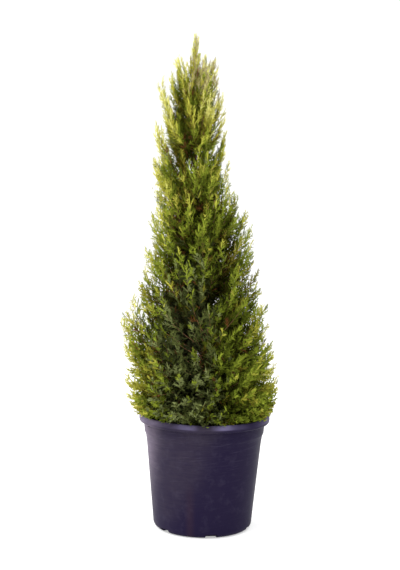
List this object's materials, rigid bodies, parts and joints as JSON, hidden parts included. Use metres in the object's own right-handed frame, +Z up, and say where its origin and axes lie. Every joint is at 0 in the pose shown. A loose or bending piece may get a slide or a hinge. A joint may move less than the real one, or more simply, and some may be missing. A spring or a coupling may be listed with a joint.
{
  "type": "potted cypress",
  "caption": "Young upright cypress in a round dark nursery pot: a tapering stem, curved low boughs and feathery masses of scale-leaved sprays in a narrow pointed crown.",
  "frame": {"origin": "middle of the pot's flat underside, on the floor", "axes": "+Z up along the trunk, -Y towards the viewer of the picture, +X to the viewer's right"},
  "size_m": [0.3648, 0.3371, 1.124],
  "materials": {
    "pot_plastic": "smooth black-violet nursery pot plastic with a soft sheen",
    "compost": "dark moist crumbly compost",
    "bark": "rough reddish-brown stringy bark",
    "foliage": "soft matt green scale leaves"
  },
  "bodies": {
    "root": {"bough_01": "bark", "bough_02": "bark", "bough_03": "bark", "bough_04": "bark", "bough_05": "bark", "bough_06": "bark", "bough_07": "bark", "bough_08": "bark", "bough_09": "bark", "bough_10": "bark", "bough_11": "bark", "bough_12": "bark", "bough_13": "bark", "bough_14": "bark", "bough_15": "bark", "bough_16": "bark", "bough_17": "bark", "leader": "foliage", "mass_01": "foliage", "mass_02": "foliage", "mass_03": "foliage", "mass_04": "foliage", "mass_05": "foliage", "mass_06": "foliage", "mass_07": "foliage", "mass_08": "foliage", "mass_09": "foliage", "mass_10": "foliage", "mass_11": "foliage", "mass_12": "foliage", "mass_13": "foliage", "mass_14": "foliage", "mass_15": "foliage", "mass_16": "foliage", "mass_17": "foliage", "mass_18": "foliage", "mass_19": "foliage", "mass_20": "foliage", "mass_21": "foliage", "mass_22": "foliage", "mass_23": "foliage", "mass_24": "foliage", "mass_25": "foliage", "mass_26": "foliage", "mass_27": "foliage", "mass_28": "foliage", "mass_29": "foliage", "mass_30": "foliage", "mass_31": "foliage", "mass_32": "foliage", "mass_33": "foliage", "mass_34": "foliage", "mass_35": "foliage", "mass_36": "foliage", "mass_37": "foliage", "mass_38": "foliage", "mass_39": "foliage", "pot": "pot_plastic", "soil": "compost", "trunk": "bark"}
  },
  "joints": []
}
